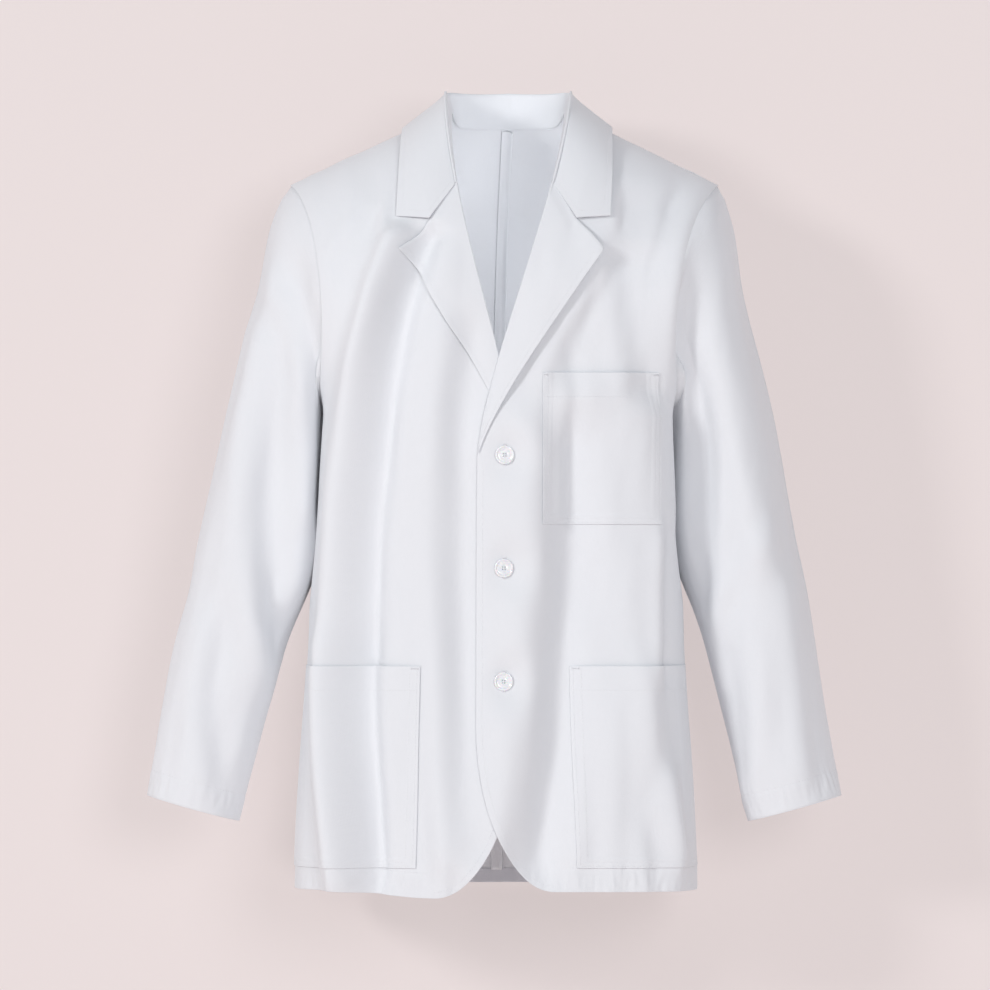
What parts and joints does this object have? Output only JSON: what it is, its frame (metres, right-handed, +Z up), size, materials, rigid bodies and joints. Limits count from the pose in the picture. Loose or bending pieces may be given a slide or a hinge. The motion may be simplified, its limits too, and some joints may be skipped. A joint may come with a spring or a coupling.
{
  "type": "lab coat",
  "caption": "White notched-lapel laboratory coat, worn shape, long sleeves, buttoned front with cut-away corners, patch pockets; sleeves and lapels swing, buttons twist.",
  "frame": {"origin": "centre of the bottom of the bounding box, between the two cuffs and level with the lowest point of the hem", "axes": "+Z up from the hem to the collar, the coat's front faces -Y, +X is the wearer's left (the viewer's right)"},
  "size_m": [0.7008, 0.2477, 0.8133],
  "materials": {
    "cloth": "plain weave cotton blend, matt",
    "cloth_inside": "plain weave cotton blend, matt",
    "button": "pearly",
    "thread": "polyester sewing thread"
  },
  "bodies": {
    "coat": {"back_left_panel": "cloth", "back_right_panel": "cloth", "centre_back_seam": "cloth_inside", "back_hem_band": "cloth_inside", "front_left_panel": "cloth", "front_right_panel": "cloth", "front_left_facing": "cloth_inside", "front_right_facing": "cloth_inside", "front_left_hem_band": "cloth_inside", "front_right_hem_band": "cloth_inside", "left_side_seam": "cloth_inside", "right_side_seam": "cloth_inside", "left_shoulder_seam": "cloth_inside", "right_shoulder_seam": "cloth_inside", "upper_collar": "cloth", "under_collar": "cloth_inside", "collar_stand": "cloth", "chest_pocket": "cloth", "chest_pocket_hem": "cloth_inside", "left_lower_pocket": "cloth", "left_lower_pocket_hem": "cloth_inside", "right_lower_pocket": "cloth", "right_lower_pocket_hem": "cloth_inside", "pocket_bartacks": "thread", "buttonhole_stitching": "thread"},
    "left_sleeve": {"left_sleeve": "cloth", "left_cuff_hem": "cloth_inside"},
    "right_sleeve": {"right_sleeve": "cloth", "right_cuff_hem": "cloth_inside"},
    "left_lapel": {"left_lapel": "cloth"},
    "right_lapel": {"right_lapel": "cloth"},
    "button_top": {"button_top": "button", "thread_top": "thread"},
    "button_middle": {"button_middle": "button", "thread_middle": "thread"},
    "button_bottom": {"button_bottom": "button", "thread_bottom": "thread"}
  },
  "joints": [
    {"name": "left_sleeve_raise", "type": "hinge", "parent": "coat", "child": "left_sleeve", "pos_m": [0.22365, 0, 0.709], "axis": [0, -1, 0], "range_deg": [0, 75]},
    {"name": "right_sleeve_raise", "type": "hinge", "parent": "coat", "child": "right_sleeve", "pos_m": [-0.20815, 0, 0.709], "axis": [0, 1, 0], "range_deg": [0, 75]},
    {"name": "left_lapel_fold", "type": "hinge", "parent": "coat", "child": "left_lapel", "pos_m": [-0.0243, -0.12276, 0.45289], "axis": [-0.2735, -0.0752, -0.9589], "range_deg": [0, 20]},
    {"name": "right_lapel_fold", "type": "hinge", "parent": "coat", "child": "right_lapel", "pos_m": [0.00386, -0.1219, 0.54017], "axis": [-0.2492, 0.1208, 0.9609], "range_deg": [0, 20]},
    {"name": "button_top_twist", "type": "hinge", "parent": "coat", "child": "button_top", "pos_m": [0.00817, -0.12211, 0.442], "axis": [0, -1, 0], "range_deg": [-30, 30]},
    {"name": "button_middle_twist", "type": "hinge", "parent": "coat", "child": "button_middle", "pos_m": [0.00736, -0.11778, 0.329], "axis": [0, -1, 0], "range_deg": [-30, 30]},
    {"name": "button_bottom_twist", "type": "hinge", "parent": "coat", "child": "button_bottom", "pos_m": [0.00707, -0.12119, 0.216], "axis": [0, -1, 0], "range_deg": [-30, 30]}
  ]
}
